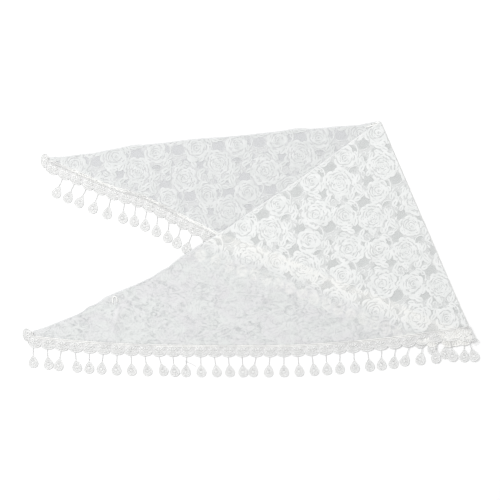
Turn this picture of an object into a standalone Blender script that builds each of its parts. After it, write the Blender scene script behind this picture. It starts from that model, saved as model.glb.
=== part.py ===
"""Triangular lace shawl with a pendant trim, folded once across the middle and laid flat.

The long edge of the triangle is plain, with a narrow hem. The two short edges carry a
guipure trim of scallops, each with a teardrop pendant on a string. The shawl is folded
from the middle of its long edge to the corner opposite, so one half lies on the other,
and the pendants hang towards -Y. Units are metres, +Z is up, and the origin is at the
bottom centre of the whole outline. Tables are in millimetres.
"""

import math

import bpy
import bmesh
from mathutils import Vector

MM = 0.001

# Walls and the clearance between pieces
CLOTH_THICK = 1.0
HEM_THICK = 1.5
HEM_WIDTH = 3.5
HEM_SLOPE = 2.0
TRIM_THICK = 1.2
GAP = 0.3

# The trim: header, scallops, strings and teardrops. Its rows run out from the header,
# and the net row is the one between the header and the scallops' edge.
HEADER_WIDTH = 4.5
STEP_WIDTH = 3.5
NET_ROW = 2
EDGE_UNDER_TRIM = 4.0
NOTCH_DEPTH = 18.0
SCALLOP_DEPTH = 24.0
STRING_WIDTH = 1.5
STRING_LENGTH = 14.0
DROP_WIDTH = 19.0
DROP_HEIGHT = 26.0
DROP_SIDES = 10
DROP_FULLNESS = 1.15
DROP_HEART = 0.62
PENDANT_LIFT = 0.25
SCALLOP_STATIONS = (0.0, 0.2, 0.5, 0.8)
SCALLOP_MIDDLE = 0.5

# Shares of the trim's full thickness, which its cords and the teardrops' hearts have
NET_SHARE = 0.75
STRING_SHARE = 0.8

# How the upper half lies: heights of its underside over what is below it
OVER_CLOTH = CLOTH_THICK + GAP
OVER_EDGE = 3.4
OVER_PENDANTS = 1.9
OVER_AT_FOLD = 2.6
FOLD_FLAT = 6.0
FOLD_SLOPE = 28.0
FOLD_LIP = 3.0
FOLD_SEGMENTS = 5

# Spacing of the points on the cloth
FRONT_CELL = 18.0
BACK_CELL = 34.0
TIP_CELL = 3.0
HEM_STARTS = 30.0

# Corners of the folded shawl: the fold runs from the long edge to the apex
FOLD_TOP = (261.0, 256.4)
FOLD_FOOT = (438.5, -154.0)

# Long edge of the upper half, from its tip to the fold: columns x, y
FRONT_LONG_EDGE = (
    (-434.0, -164.0),
    (-312.0, -110.0),
    (-184.0, -46.0),
    (-84.0, 15.0),
    (0.0, 74.0),
    (104.0, 144.0),
    (196.0, 211.0),
    FOLD_TOP,
)
# Trimmed edge of the upper half, along the top of the trim: columns x, y
FRONT_HEADER = (
    (-429.0, -174.0),
    (-337.0, -183.5),
    (-199.0, -190.5),
    (-3.0, -192.0),
    (114.0, -190.0),
    (262.0, -178.0),
    (384.0, -162.0),
    FOLD_FOOT,
)
# Long edge of the lower half, from its tip to the fold: columns x, y
BACK_LONG_EDGE = (
    (-401.0, 182.5),
    (-264.0, 202.0),
    (-120.0, 220.0),
    (8.0, 230.5),
    (136.0, 242.5),
    FOLD_TOP,
)
# Trimmed edge of the lower half, along the top of the trim: columns x, y
BACK_HEADER = (
    (-400.5, 176.5),
    (-276.0, 124.0),
    (-205.0, 101.0),
    (-62.0, 29.0),
    (48.0, -11.0),
    (176.0, -67.0),
    (296.0, -114.0),
    (380.0, -151.0),
    (434.0, -165.0),
)

# Height of the upper half's underside against how far it lies below the lower half's
# trimmed edge: columns distance, height
LIE_OF_UPPER_HALF = (
    (-48.0, OVER_CLOTH),
    (-22.0, OVER_EDGE),
    (20.0, OVER_EDGE),
    (42.0, OVER_PENDANTS),
    (78.0, OVER_PENDANTS),
    (110.0, 0.0),
)
# Height of the lower half's underside against the distance inside its trimmed edge
LIE_OF_LOWER_EDGE = (
    (-EDGE_UNDER_TRIM, TRIM_THICK + GAP),
    (5.0, TRIM_THICK + GAP),
    (13.0, 0.0),
)
# Soft standing creases in the upper half: columns x, y, half length, half width, height
CREASES = (
    (-268.0, -140.0, 44.0, 22.0, 2.4),
    (37.0, -84.0, 34.0, 20.0, 2.2),
    (243.0, -14.0, 36.0, 20.0, 2.2),
)

# Where each trim starts, rounds the tip with two scallops and ends. Angles point
# outwards, in degrees, and scallops counts those on the straight edge.
TIP_SCALLOPS = 2
FRONT_TRIM = {
    "tip": (-429.0, -169.0),
    "tip_radius": 5.0,
    "tip_start": 150.0,
    "tip_depth": 22.0,
    "first_notch": 12.0,
    "scallops": 31,
    "bare": 1,
    "end_turn": 298.0,
    "end_depth": 34.5,
    "end_length": 48.0,
}
BACK_TRIM = {
    "tip": (-399.0, 180.0),
    "tip_radius": 4.0,
    "tip_start": 132.0,
    "tip_depth": 16.0,
    "first_notch": 23.8,
    "scallops": 34,
    "bare": 2,
    "end_turn": 296.0,
    "end_depth": 25.0,
    "end_length": 40.0,
}

# How far the teardrops swing sideways, read along the trim: columns pendant, swing
FRONT_SWING = (
    (0, 0.6), (1, 2.4), (2, -5.2), (3, 3.8), (5, -3.4), (7, 1.4), (8, 5.4), (9, 9.5),
    (10, 4.4), (11, -1.4), (13, 4.6), (15, 2.0), (16, -5.6), (18, 0.6), (20, 4.6),
    (22, 0.0), (24, 4.4), (26, -3.8), (27, -9.5), (29, -2.0), (31, 10.0),
)
BACK_SWING = (
    (0, -12.6), (2, -15.4), (5, -2.8), (9, -2.6), (11, -12.0), (13, 0.0), (17, 4.0),
    (25, 6.0), (33, 0.0),
)


def read_table(table, value):
    """The second column of a table at a value of the first, in straight runs."""
    if value <= table[0][0]:
        return table[0][1]
    for (x0, y0), (x1, y1) in zip(table, table[1:]):
        if value <= x1:
            return y0 + (y1 - y0) * (value - x0) / (x1 - x0)
    return table[-1][1]


class Route:
    """A smooth curve through a short list of points, read by the distance along it."""

    STEPS = 12

    def __init__(self, knots):
        points = [Vector(knot) for knot in knots]
        first = points[0] * 2 - points[1]
        last = points[-1] * 2 - points[-2]
        ends = [first] + points + [last]
        self.points = []
        for i in range(1, len(ends) - 2):
            for k in range(self.STEPS):
                self.points.append(self.blend(ends[i - 1 : i + 3], k / self.STEPS))
        self.points.append(points[-1])
        self.marks = [0.0]
        for a, b in zip(self.points, self.points[1:]):
            self.marks.append(self.marks[-1] + (b - a).length)
        self.length = self.marks[-1]

    @staticmethod
    def blend(four, t):
        a, b, c, d = four
        return 0.5 * (
            2 * b
            + (c - a) * t
            + (2 * a - 5 * b + 4 * c - d) * t**2
            + (3 * b - a - 3 * c + d) * t**3
        )

    def at(self, distance):
        """The point at a distance, and the direction there."""
        distance = min(max(distance, 0.0), self.length)
        i = 0
        while i < len(self.marks) - 2 and self.marks[i + 1] < distance:
            i += 1
        a, b = self.points[i], self.points[i + 1]
        share = (distance - self.marks[i]) / (self.marks[i + 1] - self.marks[i])
        return a.lerp(b, share), (b - a).normalized()

    def height_at(self, x):
        """The y of a route that runs from left to right, at a given x."""
        return read_table([tuple(point) for point in self.points], x)


FRONT_LONG = Route(FRONT_LONG_EDGE)
FRONT_HEAD = Route(FRONT_HEADER)
BACK_LONG = Route(BACK_LONG_EDGE)
BACK_HEAD = Route(BACK_HEADER)
FOLD_ALONG = (Vector(FOLD_FOOT) - Vector(FOLD_TOP)).normalized()
FOLD_OUT = Vector((-FOLD_ALONG.y, FOLD_ALONG.x))


def soft(distance, half):
    """1 in the middle, falling smoothly to 0 at half."""
    if abs(distance) >= half:
        return 0.0
    return math.cos(0.5 * math.pi * distance / half) ** 2


def inside_fold(x, y):
    """How far a point lies inside the line of the fold."""
    return -(Vector((x, y)) - Vector(FOLD_TOP)).dot(FOLD_OUT)


def under_upper_half(x, y):
    """Height of the upper half's underside, which clears the half and trim below it."""
    below_edge = BACK_HEAD.height_at(x) - y
    height = read_table(LIE_OF_UPPER_HALF, below_edge)
    rise = (OVER_AT_FOLD - OVER_CLOTH) * (inside_fold(x, y) - FOLD_FLAT) / FOLD_SLOPE
    height = max(height, OVER_AT_FOLD - max(rise, 0.0))
    if below_edge > LIE_OF_UPPER_HALF[-1][0]:
        height = 0.0
    for crease_x, crease_y, half_length, half_width, crest in CREASES:
        height += crest * soft(x - crease_x, half_width) * soft(y - crease_y, half_length)
    return height


def material(name, color, roughness):
    made = bpy.data.materials.new(name)
    made.use_nodes = True
    shader = made.node_tree.nodes["Principled BSDF"]
    shader.inputs["Base Color"].default_value = (*color, 1.0)
    shader.inputs["Roughness"].default_value = roughness
    shader.inputs["Metallic"].default_value = 0.0
    return made


def stitch(bm, left, right):
    """Triangles between two columns of points that may differ in number."""
    i, j = 0, 0
    while i < len(left) - 1 or j < len(right) - 1:
        take_left = j == len(right) - 1
        if i < len(left) - 1 and j < len(right) - 1:
            take_left = (i + 1) / (len(left) - 1) <= (j + 1) / (len(right) - 1)
        if take_left:
            bm.faces.new((left[i], left[i + 1], right[j]))
            i += 1
        else:
            bm.faces.new((left[i], right[j + 1], right[j]))
            j += 1


def wall_object(name, bm, weights, thickest, finish, collection):
    """Turns an open surface into a closed wall that grows along its faces' normals."""
    mesh = bpy.data.meshes.new(name)
    bm.verts.index_update()
    shares = [weights[vert] / thickest for vert in bm.verts]
    bm.to_mesh(mesh)
    bm.free()
    mesh.materials.append(finish)
    wall = bpy.data.objects.new(name, mesh)
    collection.objects.link(wall)
    group = wall.vertex_groups.new(name="thickness")
    for index, share in enumerate(shares):
        group.add([index], share, "REPLACE")
    solid = wall.modifiers.new("wall", "SOLIDIFY")
    solid.thickness = thickest * MM
    solid.offset = 1.0
    solid.use_even_offset = True
    solid.vertex_group = group.name
    return wall


def column_distances(length, cell, ends):
    """Distances down a column from the long edge: the hem, even cells, the far end."""
    start = HEM_WIDTH + HEM_SLOPE
    stop = length - ends[0]
    squeeze = min(1.0, length / (start + ends[0] + TIP_CELL))
    if squeeze < 1.0:
        start, stop = start * squeeze, length - ends[0] * squeeze
    cells = max(1, round((stop - start) / cell))
    inner = [start + (stop - start) * k / cells for k in range(cells + 1)]
    return [0.0, HEM_WIDTH * squeeze] + inner + [length - end * squeeze for end in ends[1:]]


def run_to_fold(route, inset):
    """How far a route runs before it comes within a distance of the fold's line."""
    end, along = route.at(route.length)
    missing = inset - inside_fold(end.x, end.y)
    return route.length - max(0.0, missing) / along.dot(FOLD_OUT)


def half_columns(long_edge, header, cell, ends, inset):
    """Columns of plan points from the long edge to the trimmed one, tip to fold."""
    long_run = run_to_fold(long_edge, inset)
    header_run = run_to_fold(header, inset)
    count = round(long_run / cell)
    columns = []
    for i in range(count + 1):
        top = long_edge.at(long_run * i / count)[0]
        foot, along = header.at(header_run * i / count)
        foot = foot + Vector((along.y, -along.x)) * EDGE_UNDER_TRIM
        length = (foot - top).length
        down = (foot - top).normalized()
        distances = column_distances(length, cell, ends)
        columns.append([(top + down * d, d) for d in distances])
    return columns


def thickness_at(distance, length):
    """The hem is thicker, except at the tip, where it runs in under the trim."""
    hemmed = distance <= HEM_WIDTH and length > HEM_STARTS
    return HEM_THICK if hemmed else CLOTH_THICK


def front_plan():
    """The upper half's plan points, up to where it starts to turn over the fold."""
    inset = (OVER_AT_FOLD + CLOTH_THICK) / 2
    return half_columns(FRONT_LONG, FRONT_HEAD, FRONT_CELL, (EDGE_UNDER_TRIM, 0.0), inset)


def build_front_half(finish, collection):
    """The upper half, with the rounded fold and the narrow lip under it."""
    bm = bmesh.new()
    weights = {}
    plan = front_plan()
    columns = []
    for points in plan:
        column = []
        for point, distance in points:
            z = under_upper_half(point.x, point.y)
            vert = bm.verts.new(Vector((point.x, point.y, z)) * MM)
            weights[vert] = thickness_at(distance, points[-1][1])
            column.append(vert)
        columns.append(column)
    turns = [math.pi * k / FOLD_SEGMENTS for k in range(1, FOLD_SEGMENTS + 1)]
    for turn in turns + [None]:
        column = []
        for point, distance in plan[-1]:
            top = under_upper_half(point.x, point.y)
            radius = (top - CLOTH_THICK) / 2
            if turn is None:
                spot = point - FOLD_OUT * FOLD_LIP
                z = CLOTH_THICK
            else:
                spot = point + FOLD_OUT * radius * math.sin(turn)
                z = CLOTH_THICK + radius + radius * math.cos(turn)
            vert = bm.verts.new(Vector((spot.x, spot.y, z)) * MM)
            weights[vert] = CLOTH_THICK
            column.append(vert)
        columns.append(column)
    for left, right in zip(columns, columns[1:]):
        stitch(bm, left, right)
    return wall_object("lace_front_half", bm, weights, HEM_THICK, finish, collection)


def build_back_half(finish, collection):
    """The lower half, flat on the ground and lifted only where it lies on its trim."""
    bm = bmesh.new()
    weights = {}
    edge_rows = [distance + EDGE_UNDER_TRIM for distance, _ in reversed(LIE_OF_LOWER_EDGE)]
    inset = FOLD_LIP + GAP + (OVER_AT_FOLD + CLOTH_THICK) / 2
    columns = []
    for points in half_columns(BACK_LONG, BACK_HEAD, BACK_CELL, edge_rows, inset):
        length = points[-1][1]
        column = []
        for point, distance in points:
            inside = length - distance - EDGE_UNDER_TRIM
            z = read_table(LIE_OF_LOWER_EDGE, inside)
            vert = bm.verts.new(Vector((point.x, point.y, z)) * MM)
            weights[vert] = thickness_at(distance, length)
            column.append(vert)
        columns.append(column)
    for left, right in zip(columns, columns[1:]):
        stitch(bm, left, right)
    return wall_object("lace_back_half", bm, weights, HEM_THICK, finish, collection)


def scallop_pitch(header, sizes):
    return (header.length - sizes["first_notch"]) / sizes["scallops"]


def trim_start(header, sizes):
    """Where a trim starts: a distance before its header's first point, round the tip."""
    return sizes["first_notch"] - TIP_SCALLOPS * scallop_pitch(header, sizes)


def trim_station(header, sizes, distance):
    """The header point at a distance along a trim, and the way its scallops point."""
    if distance >= 0.0:
        point, along = header.at(distance)
        angle = math.degrees(math.atan2(-along.x, along.y)) % 360.0
        turn = soft(header.length - distance, sizes["end_length"])
        return point, angle + (sizes["end_turn"] - angle) * turn
    _, along = header.at(0.0)
    joined = math.degrees(math.atan2(-along.x, along.y)) % 360.0
    share = 1 - distance / trim_start(header, sizes)
    angle = sizes["tip_start"] + (joined - sizes["tip_start"]) * share
    out = Vector((math.cos(math.radians(angle)), math.sin(math.radians(angle))))
    return Vector(sizes["tip"]) + out * sizes["tip_radius"], angle


def scallop_reach(header, sizes, distance, share):
    """How far the trim reaches out from its header at a share of one scallop."""
    end = soft(header.length - distance, sizes["end_length"])
    curve = max(end, math.sqrt(1.0 - (2 * share - 1) ** 2))
    reach = NOTCH_DEPTH + (SCALLOP_DEPTH - NOTCH_DEPTH) * curve
    if distance < 0.0:
        tip = min(1.0, 2 * distance / trim_start(header, sizes))
        reach *= 1.0 + (sizes["tip_depth"] / SCALLOP_DEPTH - 1.0) * tip
    return reach * (1.0 + (sizes["end_depth"] / SCALLOP_DEPTH - 1.0) * end)


def drop_outline():
    """Plan points of a teardrop from its point, down one side and up the other."""
    turns = [2 * math.pi * k / DROP_SIDES for k in range(1, DROP_SIDES)]
    sides = [math.sin(turn) * math.sin(turn / 2) ** DROP_FULLNESS for turn in turns]
    spread = 0.5 * DROP_WIDTH / max(sides)
    drops = [0.5 * DROP_HEIGHT * (1 - math.cos(turn)) for turn in turns]
    return [(side * spread, drop) for side, drop in zip(sides, drops)]


def hang_pendant(bm, weights, root, swing, under):
    """A string and its teardrop, grown from the two points of a scallop's lowest edge."""
    left, right = root
    middle = (left.co + right.co) / 2 / MM
    lean = math.atan2(swing, STRING_LENGTH + DROP_HEART * DROP_HEIGHT)
    down = Vector((math.sin(lean), -math.cos(lean)))
    side = Vector((-down.y, down.x))

    def spot(across, along, share):
        point = middle.xy + side * across + down * along
        z = under(point.x, point.y) + PENDANT_LIFT
        vert = bm.verts.new(Vector((point.x, point.y, z)) * MM)
        weights[vert] = TRIM_THICK * share
        return vert

    half = STRING_WIDTH / 2
    neck_left = spot(-half, STRING_LENGTH, STRING_SHARE)
    neck_right = spot(half, STRING_LENGTH, STRING_SHARE)
    bm.faces.new((left, neck_left, neck_right, right))
    rim = [neck_right]
    rim += [spot(x, STRING_LENGTH + y, STRING_SHARE) for x, y in drop_outline()]
    rim.append(neck_left)
    heart = spot(0.0, STRING_LENGTH + DROP_HEART * DROP_HEIGHT, 1.0)
    for a, b in zip(rim, rim[1:] + rim[:1]):
        bm.faces.new((a, heart, b))


def header_rows():
    """Tables of how high the front trim lies on the cloth, along its top row and its
    second one: the cloth's own points there, moved out by its wall and the clearance.
    """
    tables = ([], [])
    plan = front_plan()
    run = run_to_fold(FRONT_HEAD, (OVER_AT_FOLD + CLOTH_THICK) / 2)
    for i, points in enumerate(plan):
        for table, (point, _) in zip(tables, points[-2:]):
            height = under_upper_half(point.x, point.y) + CLOTH_THICK + GAP
            table.append((run * i / (len(plan) - 1), height))
    return tables


def build_trim(name, header, sizes, swings, under, on_cloth, finish, collection):
    """A scalloped trim with its pendants, as one wall with no loose piece."""
    bm = bmesh.new()
    weights = {}
    columns = []
    roots = []
    pitch = scallop_pitch(header, sizes)
    start = trim_start(header, sizes)
    count = TIP_SCALLOPS + sizes["scallops"]
    half_string = 0.5 * STRING_WIDTH / pitch
    for k in range(count + 1):
        for share in SCALLOP_STATIONS[:1] if k == count else SCALLOP_STATIONS:
            shares = (share,)
            if share == SCALLOP_MIDDLE:
                shares = (share - half_string, share + half_string)
            for spot in shares:
                distance = start + (k + spot) * pitch
                point, angle = trim_station(header, sizes, distance)
                out = Vector((math.cos(math.radians(angle)), math.sin(math.radians(angle))))
                reach = scallop_reach(header, sizes, distance, spot)
                column = []
                for row, away in enumerate(
                    (0.0, HEADER_WIDTH, HEADER_WIDTH + STEP_WIDTH, reach)
                ):
                    place = point + out * away
                    z = under(place.x, place.y)
                    if row < len(on_cloth):
                        z = read_table(on_cloth[row], distance)
                    vert = bm.verts.new(Vector((place.x, place.y, z)) * MM)
                    weights[vert] = TRIM_THICK * (NET_SHARE if row == NET_ROW else 1.0)
                    column.append(vert)
                columns.append(column)
            if len(shares) == 2 and k >= sizes["bare"]:
                roots.append((columns[-2][-1], columns[-1][-1]))
    for left, right in zip(columns, columns[1:]):
        for row in range(len(left) - 1):
            bm.faces.new((left[row], left[row + 1], right[row + 1], right[row]))
    for k, root in enumerate(roots):
        hang_pendant(bm, weights, root, read_table(swings, k), under)
    return wall_object(name, bm, weights, TRIM_THICK, finish, collection)


def on_ground(x, y):
    return 0.0


def main():
    for existing in list(bpy.data.objects):
        bpy.data.objects.remove(existing, do_unlink=True)
    collection = bpy.data.collections.new("lace_shawl")
    bpy.context.scene.collection.children.link(collection)
    lace = material("white_lace", (0.86, 0.88, 0.87), 0.75)
    guipure = material("cream_guipure", (0.89, 0.88, 0.84), 0.7)
    build_back_half(lace, collection)
    build_front_half(lace, collection)
    build_trim(
        "trim_back_edge", BACK_HEAD, BACK_TRIM, BACK_SWING, on_ground, (), guipure, collection
    )
    build_trim(
        "trim_front_edge",
        FRONT_HEAD,
        FRONT_TRIM,
        FRONT_SWING,
        under_upper_half,
        header_rows(),
        guipure,
        collection,
    )


main()
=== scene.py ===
import math

import bpy
import numpy as np
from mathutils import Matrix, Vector
from mathutils.bvhtree import BVHTree


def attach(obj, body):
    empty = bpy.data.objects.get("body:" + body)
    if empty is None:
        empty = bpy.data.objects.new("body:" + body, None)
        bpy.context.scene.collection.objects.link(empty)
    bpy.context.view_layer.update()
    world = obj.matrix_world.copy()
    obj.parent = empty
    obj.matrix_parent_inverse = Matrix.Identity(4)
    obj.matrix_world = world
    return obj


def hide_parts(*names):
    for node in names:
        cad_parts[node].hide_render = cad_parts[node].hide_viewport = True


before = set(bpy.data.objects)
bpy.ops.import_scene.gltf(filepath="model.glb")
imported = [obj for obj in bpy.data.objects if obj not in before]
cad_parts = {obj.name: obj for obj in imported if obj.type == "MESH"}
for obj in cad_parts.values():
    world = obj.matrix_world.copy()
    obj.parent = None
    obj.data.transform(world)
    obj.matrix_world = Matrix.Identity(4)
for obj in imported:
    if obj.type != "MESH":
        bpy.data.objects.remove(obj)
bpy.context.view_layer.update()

# Units: metres, with tables and lace sizes in millimetres.
MM = 0.001

# The folded shawl in plan, as the solids have it: the fold and the edges of both halves
FOLD_TOP = (261.0, 256.4)
FOLD_FOOT = (438.5, -154.0)
# Edges from tip to fold: columns x, y
FRONT_LONG_EDGE = (
    (-434, -164), (-312, -110), (-184, -46), (-84, 15), (0, 74),
    (104.0, 144.0), (196.0, 211.0), FOLD_TOP,
)
FRONT_HEADER = (
    (-429, -174), (-337, -183.5), (-199, -190.5), (-3, -192), (114, -190),
    (262.0, -178.0), (384.0, -162.0), FOLD_FOOT,
)
BACK_LONG_EDGE = (
    (-401.0, 182.5), (-264.0, 202.0), (-120.0, 220.0), (8.0, 230.5), (136.0, 242.5), FOLD_TOP,
)
BACK_HEADER = (
    (-400.5, 176.5), (-276, 124), (-205, 101), (-62, 29), (48, -11),
    (176, -67), (296, -114), (380, -151), (434, -165),
)
EDGE_UNDER_TRIM = 4.0
FRONT_FOLD_INSET = 1.8
BACK_FOLD_INSET = 5.1
FOLD_LIP = 3.0
FOLD_TURNS = 7

# The trims, as the solids have them. Their notches are cut deeper here by NOTCH_CUT.
NOTCH_DEPTH = 18.0
NOTCH_CUT = 1.8
SCALLOP_DEPTH = 24.0
STRING_LENGTH = 14.0
DROP_WIDTH = 19.0
DROP_HEIGHT = 26.0
DROP_FULLNESS = 1.15
DROP_HEART = 0.62
HEART_DOWN = STRING_LENGTH + DROP_HEART * DROP_HEIGHT
TIP_SCALLOPS = 2
FRONT_TRIM = {
    "tip": (-429.0, -169.0), "tip_radius": 5.0, "tip_start": 150.0, "tip_depth": 22.0,
    "first_notch": 12.0, "scallops": 31, "bare": 1,
    "end_turn": 298.0, "end_depth": 34.5, "end_length": 48.0,
}
BACK_TRIM = {
    "tip": (-399.0, 180.0), "tip_radius": 4.0, "tip_start": 132.0, "tip_depth": 16.0,
    "first_notch": 23.8, "scallops": 34, "bare": 2,
    "end_turn": 296.0, "end_depth": 25.0, "end_length": 40.0,
}
# How far the teardrops swing sideways, read along the trim: columns pendant, swing
FRONT_SWING = (
    (0, 0.6), (1, 2.4), (2, -5.2), (3, 3.8), (5, -3.4), (7, 1.4), (8, 5.4), (9, 9.5),
    (10, 4.4), (11, -1.4), (13, 4.6), (15, 2), (16, -5.6), (18, 0.6), (20, 4.6),
    (22, 0), (24, 4.4), (26, -3.8), (27, -9.5), (29, -2), (31, 10),
)
BACK_SWING = (
    (0, -12.6), (2, -15.4), (5, -2.8), (9, -2.6), (11, -12), (13, 0), (17, 4),
    (25, 6), (33, 0),
)

# The floral repeat. Along runs on the long edge from the fold, across runs in from it.
REPEAT_ALONG = 164.0
REPEAT_ACROSS = 95.0
REPEAT_SHIFT = -14.0
FRONT_PHASE = 20.0
BACK_PHASE = 46.0


def soft(distance, half):
    """1 in the middle, falling smoothly to 0 at half."""
    share = np.clip(np.abs(distance) / half, 0.0, 1.0)
    return np.cos(0.5 * math.pi * share) ** 2


def unit(degrees):
    return np.array([math.cos(math.radians(degrees)), math.sin(math.radians(degrees))])


class Route:
    """A smooth curve through a short list of points, read by the distance along it."""

    STEPS = 12

    def __init__(self, knots):
        points = [np.array(knot, float) for knot in knots]
        ends = [points[0] * 2 - points[1]] + points + [points[-1] * 2 - points[-2]]
        fine = [
            self.blend(ends[i - 1 : i + 3], k / self.STEPS)
            for i in range(1, len(ends) - 2)
            for k in range(self.STEPS)
        ]
        self.points = np.array(fine + [points[-1]])
        steps = np.linalg.norm(np.diff(self.points, axis=0), axis=1)
        self.marks = np.concatenate([[0.0], np.cumsum(steps)])
        self.length = float(self.marks[-1])

    @staticmethod
    def blend(four, t):
        a, b, c, d = four
        return 0.5 * (
            2 * b
            + (c - a) * t
            + (2 * a - 5 * b + 4 * c - d) * t**2
            + (3 * b - a - 3 * c + d) * t**3
        )

    def at(self, distance):
        """The point at a distance, carried on straight past either end, and the direction."""
        held = min(max(distance, 0.0), self.length)
        i = int(np.clip(np.searchsorted(self.marks, held) - 1, 0, len(self.marks) - 2))
        a, b = self.points[i], self.points[i + 1]
        along = (b - a) / np.linalg.norm(b - a)
        return a + along * (distance - self.marks[i]), along

    def smooth_along(self, distance, span=40.0):
        """The direction, averaged over a stretch, so that the pattern bends evenly."""
        before, _ = self.at(distance - span)
        after, _ = self.at(distance + span)
        return (after - before) / np.linalg.norm(after - before)

    def height_at(self, x):
        return np.interp(x, self.points[:, 0], self.points[:, 1])


FOLD_ALONG = np.array(FOLD_FOOT) - np.array(FOLD_TOP)
FOLD_ALONG /= np.linalg.norm(FOLD_ALONG)
FOLD_OUT = np.array([-FOLD_ALONG[1], FOLD_ALONG[0]])


def inside_fold(x, y):
    """How far a point lies inside the line of the fold."""
    return -(np.array([x, y]) - np.array(FOLD_TOP)) @ FOLD_OUT


def run_to_fold(route, inset):
    """How far a route runs before it comes within a distance of the fold's line."""
    end, along = route.at(route.length)
    missing = inset - inside_fold(*end)
    return route.length - max(0.0, missing) / (along @ FOLD_OUT)


class Top:
    """The upper surface of one solid, in millimetres."""

    def __init__(self, node):
        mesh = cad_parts[node].data
        corners = [v.co.copy() for v in mesh.vertices]
        self.tree = BVHTree.FromPolygons(corners, [tuple(p.vertices) for p in mesh.polygons])

    def __call__(self, x, y):
        down = Vector((0.0, 0.0, -1.0))
        spot = self.tree.ray_cast(Vector((x * MM, y * MM, 0.05)), down)[0]
        if spot is None:
            spot = self.tree.find_nearest(Vector((x * MM, y * MM, 0.012)))[0]
        return spot.z / MM

    def all(self, x, y):
        return np.array([self(a, b) for a, b in zip(x, y)])

    def draped(self, x, y, floor, span=3.5):
        """A height that falls softly from the solid's edge to the floor beside it."""
        down = Vector((0.0, 0.0, -1.0))
        heights = []
        for dx, dy in ((0, 0), (span, 0), (-span, 0), (0, span), (0, -span)):
            spot = self.tree.ray_cast(Vector(((x + dx) * MM, (y + dy) * MM, 0.05)), down)[0]
            heights.append(floor if spot is None else max(floor, spot.z / MM))
        return sum(heights) / len(heights)


THREAD_FLATNESS = 0.75


class Build:
    """Points and faces of one piece, collected before its mesh is made."""

    def __init__(self):
        self.points = []
        self.faces = []
        self.values = {}

    def add(self, point, **values):
        self.points.append(tuple(point))
        for name, value in values.items():
            self.values.setdefault(name, []).append(value)
        return len(self.points) - 1

    def add_all(self, points, **values):
        """Adds an array of points and gives the number of the first."""
        first = len(self.points)
        self.points.extend(map(tuple, points))
        for name, many in values.items():
            self.values.setdefault(name, []).extend(many)
        return first

    def grid(self, rows, closed=False):
        """Quads over rows of point numbers."""
        for a, b in zip(rows, rows[1:]):
            count = len(a) if closed else len(a) - 1
            for j in range(count):
                k = (j + 1) % len(a)
                self.faces.append((a[j], b[j], b[k], a[k]))

    def tube(self, path, radius, sides=5, ring=False, **values):
        """A thread along points that lie nearly level, with closed ends."""
        path = np.array(path, float)
        count = len(path)
        if ring:
            along = np.roll(path, -1, 0) - np.roll(path, 1, 0)
        else:
            along = np.gradient(path, axis=0)
        side = np.stack([-along[:, 1], along[:, 0], np.zeros(count)], 1)
        side /= np.maximum(np.linalg.norm(side, axis=1), 1e-9)[:, None]
        share = np.linspace(0.0, 1.0, count)
        size = np.array([radius(t) if callable(radius) else radius for t in share])
        turns = 2 * math.pi * np.arange(sides) / sides
        across = side[:, None, :] * (size[:, None] * np.cos(turns))[:, :, None]
        up = np.zeros((count, sides, 3))
        up[:, :, 2] = size[:, None] * THREAD_FLATNESS * np.sin(turns)
        points = (path[:, None, :] + across + up).reshape(-1, 3)
        for name, value in values.items():
            value = value(share) if callable(value) else np.full(count, value)
            values[name] = np.repeat(value, sides)
        first = self.add_all(points, **values)
        rows = [[first + i * sides + k for k in range(sides)] for i in range(count)]
        if ring:
            rows.append(rows[0])
        else:
            self.faces.append(tuple(rows[0]))
            self.faces.append(tuple(reversed(rows[-1])))
        self.grid(rows, closed=True)

    def object(self, name, finish):
        """The piece of this name, riding on the body, in its finish."""
        used = sorted({i for face in self.faces for i in face})
        place = {old: new for new, old in enumerate(used)}
        points = np.array(self.points)[used] * MM
        faces = [tuple(place[i] for i in face) for face in self.faces]
        mesh = bpy.data.meshes.new(name)
        mesh.from_pydata(points.tolist(), [], faces)
        for key, values in self.values.items():
            layer = mesh.attributes.new(key, "FLOAT", "POINT")
            layer.data.foreach_set("value", np.array(values, np.float32)[used])
        mesh.polygons.foreach_set("use_smooth", [True] * len(mesh.polygons))
        mesh.materials.append(finish.material)
        mesh.update()
        made = bpy.data.objects.new(name, mesh)
        bpy.context.scene.collection.objects.link(made)
        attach(made, "root")
        return made


# How the lace lies: shallow ripples and soft creases added to the solids' own surface.
# Creases: columns x, y, turn from the X axis in degrees, half length, half width, height
FRONT_CREASES = (
    (-268, -142, 84, 46, 7, 1.1),
    (-210, -150, 104, 34, 9, 0.6),
    (-330, -160, 70, 26, 8, 0.6),
    (-150, -120, 58, 60, 12, 0.7),
    (-70, -110, 96, 70, 14, 0.6),
    (37, -84, 88, 34, 6, 1),
    (90, -140, 75, 40, 12, 0.6),
    (150, 60, 38, 90, 16, 0.7),
    (243, -14, 86, 34, 5, 1.1),
    (300, -60, 120, 60, 14, 0.6),
    (60, 60, 30, 80, 13, 0.6),
)
BACK_CREASES = (
    (-250, 160, 12, 80, 12, 0.5),
    (-90, 150, 70, 46, 12, 0.5),
    (-30, 200, 8, 70, 9, 0.6),
    (90, 190, 100, 40, 12, 0.5),
    (150, 215, 5, 70, 8, 0.6),
)
RIPPLE = 0.28


def lie(creases, x, y):
    """Height that ripples and creases add at points of the cloth."""
    x, y = np.asarray(x, float), np.asarray(y, float)
    height = RIPPLE * (
        np.sin(x / 17.0 + 1.3 * np.sin(y / 31.0)) * np.sin(y / 23.0 + 0.7)
        + 0.6 * np.sin(x / 41.0 - y / 29.0)
    )
    for cx, cy, turn, half_length, half_width, crest in creases:
        along = unit(turn)
        s = (x - cx) * along[0] + (y - cy) * along[1]
        t = (y - cy) * along[0] - (x - cx) * along[1]
        t = t + half_width * 0.4 * np.sin(s / 19.0)
        height = height + crest * soft(s, half_length) * soft(t, half_width)
    return height


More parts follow.
